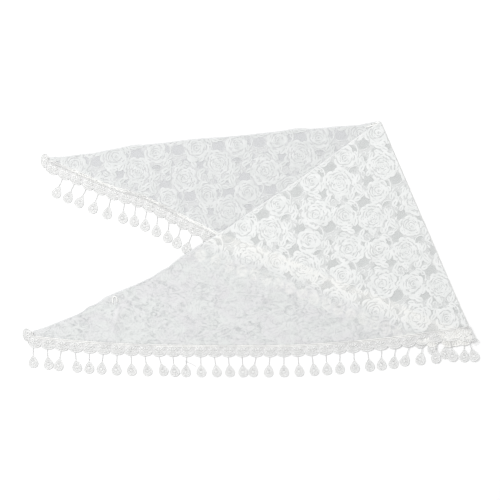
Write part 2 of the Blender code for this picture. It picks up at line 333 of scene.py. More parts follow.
# How far the plain edges wander out from the solids' smooth ones: columns X, distance out
FRONT_EDGE_WANDER = (
    (-434, 0), (-412, -3), (-380, -3.8), (-347, -5), (-336, -4),
    (-323, -0.3), (-307, -1.4), (-299, 0.4), (-289, 3), (-273, 2),
    (-250, 0.5), (-230, -1.4), (-196, -2.6), (-178, -0.6), (-164, -1.6),
    (-154, 1.2), (-138, 3.4), (-98, 4), (-84, 2.5), (-40, 0),
)
BACK_EDGE_WANDER = (
    (-401, 1.5), (-372, -1.6), (-335, -1.8), (-316, -3.4), (-298, -1.8),
    (-258, 0.4), (-236, 2.7), (-224, 2), (-214, 0), (-167, -1.2),
    (-120, -0.5), (-59, -1.2), (-23, -1.2), (13, 0), (62, 0.8),
    (97, 3.6), (110, 1.5), (122, -0.5), (181, -1.6), (217, -3.6),
    (232, -2), (258, 0),
)
BACK_HEADER_LINE = Route(BACK_HEADER)


# How the trim beneath shows through the upper half: columns distance out from its header
# line, strength
SHOWING_BAND = (
    (-7, 0), (-2, 0.9), (5, 1), (11, 0.6), (21, 0.5), (27, 0),
)
# How a pendant beneath shows through: columns distance from its heart, strength
SHOWING_DROP = (
    (0, 0.9), (2.5, 0.65), (5, 0.4), (7.5, 0.85), (9.5, 0.6), (12, 0),
)


class Half:
    """One half of the folded cloth: its edges, its surface and its place in the pattern."""

    BEFORE_EDGE, BEYOND_EDGE, MARKS = 60.0, 200.0, 540
    UNDER_TRIM = 2.5
    SLOPE_REACH = 9.0
    DROP_SQUASH = 0.85

    def __init__(self, node, long_edge, header, inset, creases, phase, wander):
        self.long_edge = Route(long_edge)
        self.wander = np.array(wander).T
        self.header = Route(header)
        self.inset = inset
        self.creases = creases
        self.phase = phase
        self.top = Top(node)
        self.long_run = run_to_fold(self.long_edge, inset)
        self.header_run = run_to_fold(self.header, inset)
        end = self.long_edge.length + self.BEYOND_EDGE
        self.marks = np.linspace(-self.BEFORE_EDGE, end, self.MARKS)
        self.edge = np.array([self.edge_at(m)[0] for m in self.marks])
        self.ways = np.array([self.long_edge.smooth_along(m) for m in self.marks])
        self.drops_below = []

    def edge_at(self, mark):
        """The plain edge at a distance along it, with its small waves, and the direction."""
        point, along = self.long_edge.at(mark)
        out = np.interp(point[0], *self.wander)
        return point + np.array([-along[1], along[0]]) * out, along

    def heights(self, x, y):
        return self.top.all(x, y) + lie(self.creases, x, y)

    def place(self, along, across):
        """Plan points of places in the pattern, measured from the fold."""
        mark = self.long_edge.length - along
        columns = (*self.edge.T, *self.ways.T)
        x, y, wx, wy = (np.interp(mark, self.marks, column) for column in columns)
        size = np.hypot(wx, wy)
        return x + wy / size * across, y - wx / size * across

    def pattern(self, x, y):
        """The places in the pattern of plan points."""
        gaps = (x[:, None] - self.edge[:, 0]) ** 2 + (y[:, None] - self.edge[:, 1]) ** 2
        nearest = gaps.argmin(1)
        way = self.ways[nearest]
        dx, dy = x - self.edge[nearest, 0], y - self.edge[nearest, 1]
        along = self.long_edge.length - (self.marks[nearest] + dx * way[:, 0] + dy * way[:, 1])
        return along, dx * way[:, 1] - dy * way[:, 0]

    def clip(self, x, y):
        """Plan points moved in to the cloth's outline, and which of them had to move."""
        reach = self.inset + (x - FOLD_TOP[0]) * FOLD_OUT[0] + (y - FOLD_TOP[1]) * FOLD_OUT[1]
        reach = np.maximum(reach, 0.0)
        x, y = x - FOLD_OUT[0] * reach, y - FOLD_OUT[1] * reach
        low = self.header.height_at(x) - self.UNDER_TRIM
        moved = (reach > 0.0) | (y < low)
        return x, np.maximum(y, low), moved

    def glow(self, x, y):
        """How strongly the trim and pendants beneath show through, from 0 to 1."""
        if not self.drops_below:
            return np.zeros(len(x))
        reach = self.SLOPE_REACH
        heights = BACK_HEADER_LINE.height_at(np.stack([x - reach, x, x + reach]))
        slope = np.gradient(heights, reach, axis=0)[1]
        out = (heights[1] - y) / np.hypot(1.0, slope)
        shown = np.interp(out, *np.array(SHOWING_BAND).T)
        shown = np.where(x < BACK_HEADER[0][0], 0.0, shown)
        for heart_x, heart_y in self.drops_below:
            away = np.hypot(x - heart_x, (y - heart_y) * self.DROP_SQUASH)
            shown = np.maximum(shown, np.interp(away, *np.array(SHOWING_DROP).T))
        return shown


# Where the upper half starts to lie alone, and over what run: below the lower half's trimmed
# edge, and left of an X
ALONE_BELOW = (24.0, 24.0)
ALONE_LEFT = (-200.0, 60.0)


def alone(x, y):
    """1 where the upper half lies with nothing under it, and 0 over the lower half."""
    below = BACK_HEADER_LINE.height_at(x) - y
    left = np.clip((ALONE_LEFT[0] - x) / ALONE_LEFT[1], 0.0, 1.0)
    return np.maximum(np.clip((below - ALONE_BELOW[0]) / ALONE_BELOW[1], 0.0, 1.0), left)


front = Half(
    "lace_front_half", FRONT_LONG_EDGE, FRONT_HEADER, FRONT_FOLD_INSET,
    FRONT_CREASES, FRONT_PHASE, FRONT_EDGE_WANDER,
)
back = Half(
    "lace_back_half", BACK_LONG_EDGE, BACK_HEADER, BACK_FOLD_INSET,
    BACK_CREASES, BACK_PHASE, BACK_EDGE_WANDER,
)


# The lace motifs: curved blades of close stitches, with thin lines of net between them and painted
# shade at the blades' rims

class Motif:
    """Blades in the motif's own plane: points with x, y, lift, shade and rim, the strength of
    painted shade at the point, and quads.
    """

    RIM_LIFT = 0.1

    def __init__(self, seed):
        self.rng = np.random.default_rng(seed)
        self.points = []
        self.quads = []
        self.middles = []

    def blade(self, path, width, lift=0.42, point=0.5, line=1.0):
        """A strip along a path, full in the middle and narrow at its ends."""
        path = np.array(path, float)
        along = np.gradient(path, axis=0)
        along /= np.maximum(np.linalg.norm(along, axis=1), 1e-9)[:, None]
        side = np.stack([-along[:, 1], along[:, 0]], 1)
        t = np.linspace(0.0, 1.0, len(path))
        full = np.maximum(np.sin(math.pi * t), 0.0) ** point
        half = 0.5 * width * np.maximum(full, 0.2)
        half = half * (1.0 + 0.1 * np.sin(9.0 * t + self.rng.uniform(0, 6)))
        shade = float(self.rng.uniform(0.0, 1.0))
        first = len(self.points)
        for p, s, h in zip(path, side, half):
            # Rim points carry the painted shade of the thin dark lines between blades
            rim = (self.RIM_LIFT, shade, line)
            self.points += [(*(p + s * h), *rim), (*p, lift, shade, 0.0), (*(p - s * h), *rim)]
        for i in range(len(path) - 1):
            for j in (0, 1):
                a = first + 3 * i + j
                self.quads.append((a, a + 3, a + 4, a + 1))
        self.middles.append(path[len(path) // 2])

    def arc(self, centre, radius, start, span, width, steps=9, swell=0.0, wave=0.0, **more):
        """A blade round part of a circle, in degrees."""
        turns = np.radians(start + span * np.linspace(0.0, 1.0, steps))
        t = np.linspace(0.0, 1.0, steps)
        r = radius * (1.0 + swell * np.sin(math.pi * t)) + wave * np.sin(4 * math.pi * t)
        path = np.stack([centre[0] + r * np.cos(turns), centre[1] + r * np.sin(turns)], 1)
        self.blade(path, width, **more)

    def stem(self, path, width):
        self.blade(path, width, lift=0.5, point=0.15)

    def leaf(self, x, y, turn, length, width, steps=7):
        """Two blades with the vein bare between them."""
        c, s = unit(turn)
        t = np.linspace(0.0, 1.0, steps)
        for side in (-1, 1):
            px = length * (t - 0.5)
            py = side * (width * 0.25 * np.sin(math.pi * t) ** 0.8 + 0.2)
            self.blade(np.stack([x + px * c - py * s, y + px * s + py * c], 1), width * 0.5)

    def bud(self, x, y, turn, size):
        """A closed bud: a heart and two wrapping petals."""
        c, s = unit(turn)
        self.arc((x, y), size * 0.42, turn - 80, 160, size * 0.3)
        self.arc((x - c, y - s), size * 0.44, turn + 100, 160, size * 0.3)
        ends = [(x + c * size * d, y + s * size * d) for d in (-0.25, 0.0, 0.25)]
        self.blade(ends, size * 0.34)


# The two kinds of rose. Rings run from the eye out: radius, petals, blade width, pull of the
# ring to the eye. Heart: place, radius, start, span, width. Each ring turns on by spin and stray.
ROSE_KINDS = {
    "cupped": {
        "rings": (
            (4.0, 3, 2.5, 0.9), (7.0, 3, 2.8, 0.7), (10.0, 4, 3.0, 0.5), (13.0, 5, 3.1, 0.3),
            (16.0, 5, 3.3, 0.14), (19.0, 7, 4.0, 0.04),
        ),
        "heart": ((-2.5, 3.0), 1.9, 20, 250, 1.5),
        "spin": 47.0, "stray": 12, "bulge": 0.06, "growth": 1.02, "seeds": (3, 11, 19),
    },
    "frilled": {
        "rings": (
            (3.4, 3, 2.3, 0), (6.0, 4, 2.5, 0), (8.7, 5, 2.6, 0), (11.5, 6, 2.7, 0),
            (14.4, 8, 2.8, 0), (17.4, 9, 3.1, 0), (20.8, 11, 4.0, 0),
        ),
        "heart": ((0.4, 0.0), 1.5, 0, 290, 1.4),
        "spin": 71.0, "stray": 15, "bulge": 0.04, "growth": 1.14, "seeds": (5, 23),
    },
}
BULGE_STEP = 0.02
PETAL_FULLNESS = 1.3


def lay_petals(rose, centre, radius, petals, width, start, bulge):
    """A ring of petals that bulge outwards and lap over each other."""
    rng = rose.rng
    ragged = 0.0035 * radius
    for k in range(petals):
        drift = rng.uniform(-1.0, 1.0, 2)
        rose.arc(
            centre + drift,
            radius * rng.uniform(0.97 - ragged, 1.01 + ragged),
            start + 360.0 * k / petals + rng.uniform(-13, 13),
            360.0 / petals * rng.uniform(0.98, 1.2),
            width * PETAL_FULLNESS * rng.uniform(0.85, 1.08),
            swell=bulge * rng.uniform(0.7, 1.35),
            wave=rng.uniform(-0.75, 0.75),
            point=0.34,
            # Painted shade at the petals' rims, a little less on the outer rings
            line=1.0 - 0.012 * radius,
        )


def open_rose(kind, seed):
    """A rose: rings of petals wrapped round its eye."""
    rose = Motif(seed)
    eye = kind["heart"][0]
    rose.arc(*kind["heart"], steps=8)
    for j, (radius, petals, width, pull) in enumerate(kind["rings"]):
        start = kind["spin"] * j + rose.rng.uniform(-kind["stray"], kind["stray"])
        bulge = kind["bulge"] + BULGE_STEP * j
        lay_petals(rose, np.array(eye) * pull, radius, petals, width, start, bulge)
    return rose


# Roses of one repeat: columns along, across, kind, radius
ROSES = (
    (0.0, 17.0, "cupped", 22.0),
    (82.0, 17.0, "cupped", 23.5),
    (121.0, 53.0, "frilled", 28.5),
    (29.0, 77.0, "frilled", 29.5),
)
# Open patches of bare net in one repeat: columns along, across, half width, half height
OPEN_PATCHES = (
    (35, 18, 11, 9.5), (117, 18, 11.5, 9.5), (56.5, 15, 4, 8.5),
    (138.5, 15, 4, 8.5), (-6.5, 51, 10, 8), (70, 83, 11, 9),
    (83, 46, 9, 4), (148, 90, 6, 5), (8, 45, 5, 3.5),
    (98, 76, 5, 4), (128, 88, 4, 3.5), (21, 41, 7, 3.5),
    (50, 45, 4, 6.5), (63, 63, 6, 3.5), (105, 88, 6.5, 4),
    (147, 69, 4.5, 5), (3, 87, 4, 6),
)


def sprays():
    """Leaves, buds, stems and the fan of bars that join the roses in one repeat."""
    spray = Motif(2)
    for rose_at in (0.0, 82.0):
        near = rose_at + 50.0
        bow = ((3.0, 2.0), (-0.5, 8.0), (-1.5, 14.0), (0.5, 21.0), (5.0, 27.0), (12.0, 30.5))
        spray.stem([(near + x, y) for x, y in bow], 2.8)
        side = ((-1.0, 23.0), (-8.0, 28.5), (-16.0, 30.0), (-24.0, 29.0))
        spray.stem([(near + x, y) for x, y in side], 2.2)
        spray.stem([(near + 13.0, 3.0), (near + 12.0, 12.0), (near + 14.0, 22.0)], 1.8)
        spray.leaf(rose_at + 30.0, 5.0, 6, 17.0, 6.5)
    spray.leaf(-8.0, 66.0, 28, 20.0, 10.0)
    spray.leaf(-25.0, 75.0, 74, 16.0, 9.0)
    spray.stem([(4.0, 40.0), (8.0, 49.0), (6.0, 58.0), (0.0, 63.0)], 2.0)
    spray.stem([(-18.0, 42.0), (-19.0, 52.0), (-14.0, 61.0)], 2.0)
    spray.bud(138.0, 76.0, 110, 13.0)
    spray.stem([(138.0, 82.0), (134.0, 92.0), (126.0, 99.0)], 1.8)
    fan = (82.0, 57.0)
    spray.arc(fan, 15.0, 190, 165, 2.3, steps=12, point=0.2)
    for k in range(6):
        way = unit(218.0 + 21.0 * k)
        spray.stem([(fan[0] + way[0] * d, fan[1] + way[1] * d) for d in (2.0, 13.0)], 1.5)
    spray.stem([(56.0, 74.0), (59.0, 84.0), (57.0, 94.0)], 2.0)
    spray.stem([(83.0, 74.0), (85.0, 84.0), (82.0, 95.0), (74.0, 98.0)], 2.0)
    return spray


def images(along, across):
    """A place of the repeat with the same place in the repeats round it."""
    return [
        (along + k * REPEAT_ALONG + r * REPEAT_SHIFT, across + r * REPEAT_ACROSS)
        for r in (-1, 0, 1)
        for k in (-1, 0, 1)
    ]


ROSE_PLACES = [(x, y, size) for a, b, _, size in ROSES for x, y in images(a, b)]
PATCH_PLACES = [(x, y, hx, hy) for a, b, hx, hy in OPEN_PATCHES for x, y in images(a, b)]
FILLER_TRIES = 5200
FILLER_SPACING = 7.6


def patch_distance(along, across):
    """1 on the rim of the nearest open patch, less inside it."""
    least = np.full(np.shape(along), 9.0)
    for x, y, hx, hy in PATCH_PLACES:
        d = (np.abs(along - x) / hx) ** 2.6 + (np.abs(across - y) / hy) ** 2.6
        least = np.minimum(least, d ** (1 / 2.6))
    return least


def filler(taken):
    """Small leaves and petals that close the ground between the roses of one repeat."""
    ground = Motif(17)
    rng = ground.rng
    spots = [spot for x, y in taken for spot in images(x, y)]
    for _ in range(FILLER_TRIES):
        a, b = rng.uniform(0, REPEAT_ALONG), rng.uniform(0, REPEAT_ACROSS)
        lean, grow, kind = rng.uniform(-55, 55), rng.uniform(0.85, 1.2), rng.uniform(0, 1)
        gaps = [(math.hypot(a - x, b - y) - size, x, y) for x, y, size in ROSE_PLACES]
        nearest, rose_x, rose_y = min(gaps)
        if nearest < 1.5 or patch_distance(a, b) < 1.18:
            continue
        near = np.array(spots) - (a, b)
        if (near**2).sum(1).min() < FILLER_SPACING**2:
            continue
        spots.extend(images(a, b))
        turn = math.degrees(math.atan2(b - rose_y, a - rose_x)) + 90.0 + lean
        if kind < 0.55:
            ground.leaf(a, b, turn, 15.0 * grow, 10.0 * grow, steps=6)
        elif kind < 0.8:
            spot, way, bow = np.array([a, b]), unit(turn) * 6.0 * grow, unit(turn + 90) * 1.2
            ground.blade([spot - way, spot + bow, spot + way], 5.2)
        else:
            ground.arc((a, b), 3.1 * grow, turn, 300, 2.8, steps=8)
    return ground


OPEN_ROSES = {
    name: [open_rose(kind, seed) for seed in kind["seeds"]] for name, kind in ROSE_KINDS.items()
}
SPRAY = sprays()
FILLER = filler(SPRAY.middles)
UNDER_ROSE = 0.3
PATCH_SOFTNESS = 0.25


def bareness(along, across, phase):
    """How bare the net is at places in the pattern: 1 in an open patch."""
    row = np.floor(across / REPEAT_ACROSS)
    across0 = across - row * REPEAT_ACROSS
    along0 = (along - phase - row * REPEAT_SHIFT) % REPEAT_ALONG
    bare = np.clip((1.0 + PATCH_SOFTNESS - patch_distance(along0, across0)) / PATCH_SOFTNESS, 0, 1)
    for x, y, size in ROSE_PLACES:
        inside = np.hypot(along0 - x, across0 - y) < size - 1.5
        bare = np.where(inside, np.maximum(bare * 0.3, UNDER_ROSE), bare)
    return bare


# How far motifs keep from the plain edge and its tip, the least blade that is kept, in square
# millimetres, and how much flatter motifs lie where the upper half lies alone
EDGE_MARGIN = 1.5
TIP_MARGIN = 1.0
LEAST_BLADE = 0.05
ALONE_FLATTER = 0.6


def add_motif(build, half, motif, at, turn=0.0, size=1.0):
    """Lays one motif on the cloth, bent along its edge and trimmed to its outline."""
    c, s = unit(turn) * size
    px, py, lift, shade, rim = np.array(motif.points).T
    along = at[0] + px * c - py * s
    across = at[1] + px * s + py * c
    furthest = half.long_edge.length - TIP_MARGIN
    outside = (across < EDGE_MARGIN) | (along > furthest)
    x, y = half.place(np.minimum(along, furthest), np.maximum(across, EDGE_MARGIN))
    x, y, moved = half.clip(x, y)
    outside |= moved
    quads = np.array(motif.quads)
    keep = ~outside[quads].all(1)
    corners = np.stack([x, y], 1)[quads]
    one, two = corners[:, 2] - corners[:, 0], corners[:, 3] - corners[:, 1]
    keep &= np.abs(one[:, 0] * two[:, 1] - one[:, 1] * two[:, 0]) > LEAST_BLADE
    if not keep.any():
        return
    used = np.unique(quads[keep])
    number = np.zeros(len(px), int)
    number[used] = np.arange(len(used))
    x, y = x[used], y[used]
    single = alone(x, y) if half is front else np.zeros(len(x))
    z = half.heights(x, y) + lift[used] * (1.0 - ALONE_FLATTER * single)
    spots = np.stack([x, y, z], 1)
    tones = {"shade": shade[used], "rim": rim[used], "haze": single, "glow": half.glow(x, y)}
    first = build.add_all(spots, **tones)
    build.faces.extend(tuple(first + number[i] for i in quad) for quad in quads[keep])


def lay_pattern(half, name, finish):
    """The floral repeat over one half of the cloth, as one joined mesh."""
    build = Build()
    rng = np.random.default_rng(41)
    for r in range(-1, 5):
        for k in range(-1, 7):
            corner = (half.phase + r * REPEAT_SHIFT + k * REPEAT_ALONG, r * REPEAT_ACROSS)
            add_motif(build, half, SPRAY, corner)
            add_motif(build, half, FILLER, corner)
            for a, b, kind, _ in ROSES:
                roses = OPEN_ROSES[kind]
                rose = roses[int(rng.integers(len(roses)))]
                turn = float(rng.uniform(-40, 40))
                grow = ROSE_KINDS[kind]["growth"] * float(rng.uniform(0.9, 1.05))
                add_motif(build, half, rose, (corner[0] + a, corner[1] + b), turn, grow)
    return build.object(name, finish)


# Materials

class Finish:
    """A material: named nodes that feed one Principled shader; its slot is not used."""

    def __init__(self, name, slot, roughness, sheen):
        self.slot = slot
        self.material = bpy.data.materials.new(name)
        self.material.use_nodes = True
        self.tree = self.material.node_tree
        self.shader = self.tree.nodes["Principled BSDF"]
        self.shader.inputs["Roughness"].default_value = roughness
        self.shader.inputs["Sheen Weight"].default_value = sheen
        self.shader.inputs["Sheen Roughness"].default_value = 0.5
        self.shader.inputs["Specular IOR Level"].default_value = 0.25

    def node(self, kind, inputs=None, **settings):
        made = self.tree.nodes.new(kind)
        for name, value in settings.items():
            setattr(made, name, value)
        for name, value in (inputs or {}).items():
            if isinstance(value, bpy.types.NodeSocket):
                self.tree.links.new(value, made.inputs[name])
            else:
                made.inputs[name].default_value = value
        return made

    def math(self, operation, a, b=0.0, c=0.0):
        return self.node("ShaderNodeMath", {0: a, 1: b, 2: c}, operation=operation).outputs[0]

    def noise(self, scale, detail=2.0, swirl=0.0, stretch=1.0):
        """Noise over the object, its spots drawn out along X by the stretch."""
        place = self.node("ShaderNodeTexCoord").outputs["Object"]
        if stretch != 1.0:
            squeeze = {"Vector": place, "Scale": (1.0 / stretch, 1.0, 1.0)}
            place = self.node("ShaderNodeMapping", squeeze).outputs["Vector"]
        inputs = {"Vector": place, "Scale": scale, "Detail": detail, "Distortion": swirl}
        return self.node("ShaderNodeTexNoise", inputs).outputs["Fac"]

    def turned(self, degrees):
        """Object coordinates turned in plan, in millimetres, as three numbers."""
        place = self.node("ShaderNodeTexCoord").outputs["Object"]
        inputs = {"Vector": place, "Rotation": (0, 0, math.radians(degrees)), "Scale": (1e3,) * 3}
        spun = self.node("ShaderNodeMapping", inputs).outputs["Vector"]
        return self.node("ShaderNodeSeparateXYZ", {"Vector": spun}).outputs

    def attribute(self, name):
        return self.node("ShaderNodeAttribute", attribute_name=name).outputs["Fac"]

    def span(self, value, low, high, to_low, to_high):
        ends = {"From Min": low, "From Max": high, "To Min": to_low, "To Max": to_high}
        return self.node("ShaderNodeMapRange", {"Value": value, **ends}).outputs["Result"]

    def patches(self, scale, low, high, least, most, detail=3.0, **more):
        """Soft patches of noise that run from least to most."""
        return self.span(self.noise(scale, detail, **more), low, high, least, most)

    def mix(self, share, a, b):
        made = self.node("ShaderNodeMix", {"Factor": share}, data_type="RGBA")
        for socket, value in ((made.inputs["A"], a), (made.inputs["B"], b)):
            if isinstance(value, bpy.types.NodeSocket):
                self.tree.links.new(value, socket)
            else:
                socket.default_value = (*value, 1.0)
        return made.outputs["Result"]

    def wires(self, period, degrees, thin):
        """Threads that cross at a slant: 1 on a thread and 0 in a hole."""
        x, y, _ = self.turned(degrees)
        lines = []
        for way in (self.math("ADD", x, y), self.math("SUBTRACT", x, y)):
            turn = self.math("MULTIPLY", way, math.pi / period)
            wave = self.math("ABSOLUTE", self.math("SINE", turn))
            lines.append(self.span(wave, thin, thin + 0.3, 1.0, 0.0))
        return self.math("MAXIMUM", *lines)

    def set(self, name, value):
        self.tree.links.new(value, self.shader.inputs[name])

    def bump(self, height, distance, strength):
        inputs = {"Height": height, "Distance": distance, "Strength": strength}
        self.set("Normal", self.node("ShaderNodeBump", inputs).outputs["Normal"])

    def twist(self, degrees, period, grain):
        """The relief of fine threads that run at a slant, with a little grain."""
        x, y, _ = self.turned(degrees)
        along = self.math("MULTIPLY", self.math("ADD", x, y), 2 * math.pi / period)
        self.bump(self.math("ADD", self.math("SINE", along), self.noise(grain)), 0.0001, 0.3)


# Motif tones of the upper half and of the lower one: light, shaded, and thin dark lines at rims,
# which are painted shade for the gaps between blades
FRONT_TONES = ((0.896, 0.904, 0.899), (0.815, 0.83, 0.822), (0.605, 0.625, 0.617))
BACK_TONES = ((0.81, 0.82, 0.817), (0.72, 0.735, 0.73), (0.555, 0.575, 0.567))
MOTIF_COVER = 0.88
# Tones of the upper half where it lies alone: green cast, mauve cast and dark flecks
ALONE_TONES = ((0.762, 0.779, 0.771), (0.753, 0.75, 0.76), (0.53, 0.545, 0.55))
# Net tones, ground and open patch, with how much each covers
FRONT_NET_TONES = ((0.80, 0.81, 0.806), (0.69, 0.705, 0.70))
BACK_NET_TONES = ((0.71, 0.715, 0.718), (0.636, 0.643, 0.655))
FRONT_NET_COVER = (0.66, 0.54)
BACK_NET_COVER = (0.80, 0.66)
ALONE_COVER = 0.16
SHOWING_CREAM = (0.95, 0.944, 0.915)
CREAM_LIGHT = (0.95, 0.948, 0.93)
CREAM_SHADE = (0.86, 0.856, 0.832)
GUIPURE_LIGHT = (0.92, 0.923, 0.915)
GUIPURE_SHADE = (0.82, 0.823, 0.815)
# Tone of painted shade on the guipure, for single threads, notches and pendant rims
GUIPURE_PAINTED_SHADE = (0.645, 0.645, 0.645)
TRIM_NET_LIGHT = (0.835, 0.835, 0.832)
TRIM_NET_SHADE = (0.745, 0.745, 0.742)
TRIM_NET_COVER = 0.86
BUNCH_NET_LIGHT = (0.94, 0.936, 0.915)
BUNCH_NET_SHADE = (0.80, 0.796, 0.78)
BUNCH_NET_COVER = 0.92
# Hem tones: cream, dull, and the painted shade on its outer rim
HEM_CREAM = (0.835, 0.833, 0.82)
HEM_DULL = (0.77, 0.78, 0.78)
HEM_PAINTED_SHADE = (0.60, 0.61, 0.615)


def mottled(finish, tones):
    """The uneven tones of crushed lace, with dark flecks."""
    green, mauve, fleck = tones
    cast = finish.patches(30.0, 0.42, 0.6, 0.0, 1.0, detail=4.0, swirl=0.8, stretch=1.5)
    flecks = finish.patches(84.0, 0.46, 0.7, 0.0, 1.0, detail=8.0, swirl=2.0, stretch=1.6)
    where = finish.patches(21.0, 0.38, 0.62, 0.5, 1.0, detail=2.0, swirl=0.5, stretch=1.4)
    dark = finish.math("MULTIPLY", flecks, where)
    return finish.mix(dark, finish.mix(cast, green, mauve), fleck)


def shown_through(finish, tone, most):
    """A tone warmed where the trim beneath shows through, and where the glow attribute carries
    painted light on the turn of the fold.
    """
    glow = finish.math("MULTIPLY", finish.attribute("glow"), most)
    patchy = finish.patches(130.0, 0.34, 0.6, 0.35, 1.0)
    return finish.mix(finish.math("MULTIPLY", glow, patchy), tone, SHOWING_CREAM)


def motif_finish(name, tones):
    """Close satin stitches with a soft sheen and thin dark lines of painted shade between them."""
    light, shade, line = tones
    finish = Finish(name, "lace", 0.62, sheen=0.3)
    blotch = finish.patches(60.0, 0.35, 0.68, 0.0, 0.7)
    share = finish.math("MULTIPLY_ADD", finish.attribute("shade"), 0.4, blotch)
    crisp = finish.mix(share, light, shade)
    # Painted shade: the blades' rims are mixed to the dark line tone, for the shade in the gaps
    # between blades
    crisp = finish.mix(finish.span(finish.attribute("rim"), 0.66, 1.0, 0.0, 1.0), crisp, line)
    haze = finish.math("MULTIPLY", finish.attribute("haze"), 0.8)
    finish.shader.inputs["Alpha"].default_value = MOTIF_COVER
    tone = finish.mix(haze, crisp, mottled(finish, ALONE_TONES))
    finish.set("Base Color", shown_through(finish, tone, 0.66))
    finish.twist(24.0, 0.9, 900.0)
    return finish


def net_finish(name, degrees, tones, covers):
    """The ground of the lace: fine threads with holes that show what is behind."""
    ground, open_tone = tones
    finish = Finish(name, "lace", 0.8, sheen=0.15)
    haze = finish.attribute("haze")
    bare = finish.attribute("bare")
    blotch = finish.patches(45.0, 0.3, 0.7, 0.0, 0.25, detail=4.0)
    tone = finish.mix(finish.math("MAXIMUM", bare, blotch), ground, open_tone)
    tone = finish.mix(haze, tone, mottled(finish, ALONE_TONES))
    finish.set("Base Color", shown_through(finish, tone, 0.62))
    wires = finish.wires(1.6, degrees, 0.35)
    cover = finish.span(bare, 0.0, 1.0, *covers)
    cover = finish.math("MULTIPLY_ADD", haze, ALONE_COVER, cover)
    finish.set("Alpha", finish.math("MAXIMUM", wires, cover))
    finish.bump(wires, 0.00012, 0.5)
    return finish


def dimmed(finish, blotch, light, shade):
    """Sets the guipure's tone, darkened towards painted shade: most on single threads, less at the
    notches and on the pendants' rims.
    """
    tone = finish.mix(blotch, light, shade)
    finish.set("Base Color", finish.mix(finish.attribute("dim"), tone, GUIPURE_PAINTED_SHADE))


def cord_finish(name, light, shade):
    """Guipure cord with its twist."""
    finish = Finish(name, "guipure", 0.66, sheen=0.3)
    dimmed(finish, finish.patches(90.0, 0.35, 0.68, 0.0, 1.0), light, shade)
    finish.twist(45.0, 0.8, 1200.0)
    return finish


def trim_net_finish(name, light, shade, cover):
    """The netted ground of the trim."""
    finish = Finish(name, "guipure", 0.75, sheen=0.2)
    dimmed(finish, finish.patches(70.0, 0.3, 0.7, 0.0, 1.0), light, shade)
    wires = finish.wires(2.1, 18.0, 0.3)
    finish.set("Alpha", finish.math("MAXIMUM", wires, cover))
    finish.bump(wires, 0.0002, 0.5)
    return finish


# The ground of each half: one open layer of net on its solid

NET_CELL = 2.8
NET_ROWS = 110
NET_SINK = 0.25
# How much painted light lifts the turn of the fold, whose side away from the lamp lies in shade
FOLD_PAINTED_LIGHT = 0.8


def lay_net(half, name, finish, turned_over):
    """The net of one half from its long edge to under its trim, and round the fold."""
    build = Build()
    count = round(half.long_run / NET_CELL)
    rows = []
    share = np.linspace(0.0, 1.0, NET_ROWS + 1)
    for i in range(count + 1):
        head = half.edge_at(half.long_run * i / count)[0]
        foot, along = half.header.at(half.header_run * i / count)
        foot = foot + np.array([along[1], -along[0]]) * EDGE_UNDER_TRIM
        x, y = head[:, None] + (foot - head)[:, None] * share
        z = half.heights(x, y) - NET_SINK
        bare = bareness(*half.pattern(x, y), half.phase)
        haze = alone(x, y) if half is front else np.zeros(len(x))
        spots = np.stack([x, y, z], 1)
        first = build.add_all(spots, bare=bare, haze=haze, glow=half.glow(x, y))
        rows.append(list(range(first, first + len(x))))
    if turned_over:
        edge = np.array(build.points[rows[-1][0] :])
        tones = {key: [0.0] * len(edge) for key in build.values}
        # Painted light on the turn of the fold, carried by the glow attribute
        tones["glow"] = [FOLD_PAINTED_LIGHT] * len(edge)
        for k in range(1, FOLD_TURNS + 2):
            turn = math.pi * min(k, FOLD_TURNS) / FOLD_TURNS
            radius = edge[:, 2] / 2
            out = radius * math.sin(turn) if k <= FOLD_TURNS else np.full(len(edge), -FOLD_LIP)
            low = np.maximum(radius + radius * math.cos(turn), 0.05)
            plan = edge[:, :2] + np.outer(out, FOLD_OUT)
            first = build.add_all(np.column_stack([plan, low]), **tones)
            rows.append(list(range(first, first + len(edge))))
    build.grid(rows)
    return build.object(name, finish)


# Profile of the rolled hem: columns distance inward, lift, how much painted shade darkens its rim
HEM_PROFILE = (
    (0, -0.6, 1), (0.1, 0.1, 1), (0.8, 0.4, 0.8), (1.2, 0.5, 0), (1.6, 0.5, 0),
    (2.2, 0.25, 0.5), (2.8, -0.1, 0.9),
)
HEM_STEP = 3.2
HEM_MIDDLE = 1.6
HEM_SINK = 0.15
# Where the upper half's hem is rolled over twice and looks dark, with full painted shade: X and
# half length
ROLLED_HEM = (-328.0, 30.0)
# Where the upper half's hem turns pale, with less painted shade on its rim, since it lies on the
# lower half: X and run
PALE_HEM = (-105.0, 14.0)


def lay_hem(half, name, finish):
    """The narrow rolled hem along the plain edge, with painted shade on its rim, pale where it
    lies on the other half.
    """
    build = Build()
    rows = []
    steps = round(half.long_run / HEM_STEP)
    for i in range(steps + 1):
        mark = half.long_run * i / steps
        point, along = half.edge_at(mark)
        inward = np.array([along[1], -along[0]])
        x, y = point + inward * HEM_MIDDLE
        base = float(half.heights([x], [y])[0]) - HEM_SINK
        pale = float(np.clip((x - PALE_HEM[0]) / PALE_HEM[1], 0.0, 1.0)) if half is front else 0.0
        rolled = soft(x - ROLLED_HEM[0], ROLLED_HEM[1]) if half is front else 0.0
        row = []
        for away, lift, rim in HEM_PROFILE:
            x, y = point + inward * away
            # Painted shade on the hem's rim, less where it lies on the lower half
            dark = min(1.0, rim * (1.0 - 0.75 * pale) + rolled)
            row.append(build.add((x, y, base + lift), rim=dark, pale=pale))
        rows.append(row)
    build.grid(rows)
    return build.object(name, finish)


